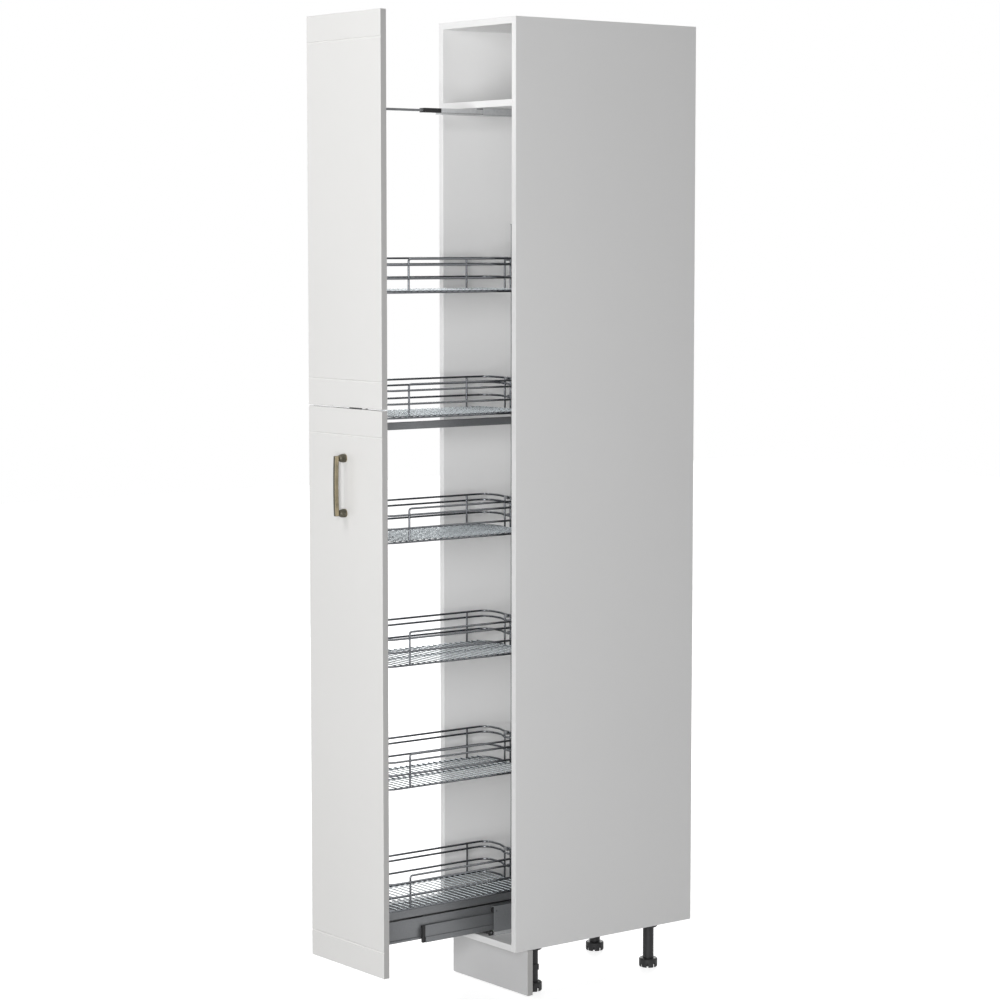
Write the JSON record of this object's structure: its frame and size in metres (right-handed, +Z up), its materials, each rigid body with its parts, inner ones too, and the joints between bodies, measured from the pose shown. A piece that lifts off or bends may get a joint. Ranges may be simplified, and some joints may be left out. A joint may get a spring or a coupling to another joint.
{
  "type": "pull out larder unit",
  "caption": "Tall narrow kitchen unit on legs with a full-height pull-out: two fronts on a sliding frame that carries stacked wire baskets, fixed shelf above, clip-on plinth.",
  "frame": {"origin": "centre of the overall box's footprint, on the floor, with the unit drawn out 369 mm as it is stored", "axes": "+X to the right seen from the front, +Y from the fronts to the wall, +Z up"},
  "size_m": [0.3, 0.976, 2.334],
  "materials": {
    "front_foil": "white foil-faced board, satin",
    "board_white": "white melamine-faced chipboard, fine grain",
    "back_white": "white lacquered fibreboard",
    "beech": "raw beech",
    "zinc": "zinc die-cast",
    "screw_steel": "zinc-plated steel",
    "bright_steel": "bright galvanised sheet steel",
    "chrome_wire": "polished chrome plating",
    "grey_steel": "dark grey powder coat, satin",
    "black_plastic": "black moulded plastic",
    "white_plastic": "natural glide plastic",
    "bronze": "antique bronze, dark with worn edges",
    "buffer": "clear soft buffer"
  },
  "bodies": {
    "cabinet": {"side_panel_left": "board_white", "side_panel_right": "board_white", "top_panel": "board_white", "bottom_panel": "board_white", "fixed_shelf": "board_white", "back_panel": "back_white", "fixing_rail": "board_white", "joint_dowels": "beech", "cam_housings": "zinc", "cam_bolts": "screw_steel", "leg_sockets": "black_plastic", "leg_columns": "black_plastic", "cabinet_screws": "screw_steel", "runner_tray": "bright_steel", "runner_housing": "grey_steel", "housing_glide": "white_plastic", "mouth_axles": "grey_steel", "mouth_cheeks": "black_plastic", "top_guide_channel": "bright_steel"},
    "pullout": {"upper_front": "front_foil", "lower_front": "front_foil", "bow_handle": "bronze", "handle_bolts": "screw_steel", "front_brackets": "grey_steel", "bracket_screws": "screw_steel", "closing_buffers": "buffer", "front_post": "grey_steel", "rear_post": "grey_steel", "post_plugs": "black_plastic", "frame_base_bar": "grey_steel", "rail_spacers": "black_plastic", "frame_bolts": "screw_steel", "moving_rail": "grey_steel", "mid_crossbar": "grey_steel", "top_guide_bar": "grey_steel", "top_bar_slider": "white_plastic", "basket_hooks": "grey_steel", "hook_bolts": "screw_steel", "basket_1": "chrome_wire", "basket_2": "chrome_wire", "basket_3": "chrome_wire", "basket_4": "chrome_wire", "basket_5": "chrome_wire", "basket_6": "chrome_wire"},
    "middle_member": {"runner_middle": "grey_steel", "middle_glide": "white_plastic", "middle_end_stops": "black_plastic", "middle_roller_axles": "grey_steel"},
    "guide_member": {"top_guide_slide": "bright_steel", "top_guide_block": "black_plastic"},
    "mouth_roller": {"mouth_roller": "black_plastic"},
    "upper_rollers": {"upper_rollers": "black_plastic"},
    "middle_rollers": {"middle_rollers": "black_plastic"},
    "plinth": {"plinth_board": "front_foil", "plinth_clips": "black_plastic", "plinth_clip_screws": "screw_steel"},
    "foot_front_left": {"foot_front_left": "black_plastic"},
    "foot_front_right": {"foot_front_right": "black_plastic"},
    "foot_rear_left": {"foot_rear_left": "black_plastic"},
    "foot_rear_right": {"foot_rear_right": "black_plastic"}
  },
  "joints": [
    {"name": "pullout_slide", "type": "slide", "parent": "cabinet", "child": "pullout", "axis": [0, -1, 0], "range_m": [-0.367, 0.111]},
    {"name": "middle_member_slide", "type": "slide", "parent": "cabinet", "child": "middle_member", "axis": [0, -1, 0], "range_m": [-0.1835, 0.0555]},
    {"name": "guide_member_slide", "type": "slide", "parent": "cabinet", "child": "guide_member", "axis": [0, -1, 0], "range_m": [-0.1835, 0.0555]},
    {"name": "mouth_roller_spin", "type": "hinge", "parent": "cabinet", "child": "mouth_roller", "pos_m": [0, -0.052, 0.1367], "axis": [1, 0, 0], "continuous": true},
    {"name": "upper_roller_spin", "type": "hinge", "parent": "cabinet", "child": "upper_rollers", "pos_m": [0, -0.039, 0.1903], "axis": [1, 0, 0], "continuous": true},
    {"name": "middle_roller_spin", "type": "hinge", "parent": "middle_member", "child": "middle_rollers", "pos_m": [0, -0.232, 0.166], "axis": [1, 0, 0], "continuous": true},
    {"name": "plinth_pull", "type": "slide", "parent": "cabinet", "child": "plinth", "axis": [0, -1, 0], "range_m": [0, 0.04]},
    {"name": "foot_front_left_turn", "type": "hinge", "parent": "cabinet", "child": "foot_front_left", "pos_m": [-0.105, 0.016, 0.03], "axis": [0, 0, 1], "range_deg": [0, 3600]},
    {"name": "foot_front_right_turn", "type": "hinge", "parent": "cabinet", "child": "foot_front_right", "pos_m": [0.105, 0.016, 0.03], "axis": [0, 0, 1], "range_deg": [0, 3600]},
    {"name": "foot_rear_left_turn", "type": "hinge", "parent": "cabinet", "child": "foot_rear_left", "pos_m": [-0.105, 0.387, 0.03], "axis": [0, 0, 1], "range_deg": [0, 3600]},
    {"name": "foot_rear_right_turn", "type": "hinge", "parent": "cabinet", "child": "foot_rear_right", "pos_m": [0.105, 0.387, 0.03], "axis": [0, 0, 1], "range_deg": [0, 3600]}
  ],
  "couplings": [
    {"joint": "middle_member_slide", "follows": "pullout_slide", "ratio": 0.5},
    {"joint": "guide_member_slide", "follows": "pullout_slide", "ratio": 0.5},
    {"joint": "mouth_roller_spin", "follows": "pullout_slide", "rad_per_m": 100},
    {"joint": "upper_roller_spin", "follows": "pullout_slide", "rad_per_m": -71.429},
    {"joint": "middle_roller_spin", "follows": "pullout_slide", "rad_per_m": 46.729}
  ]
}
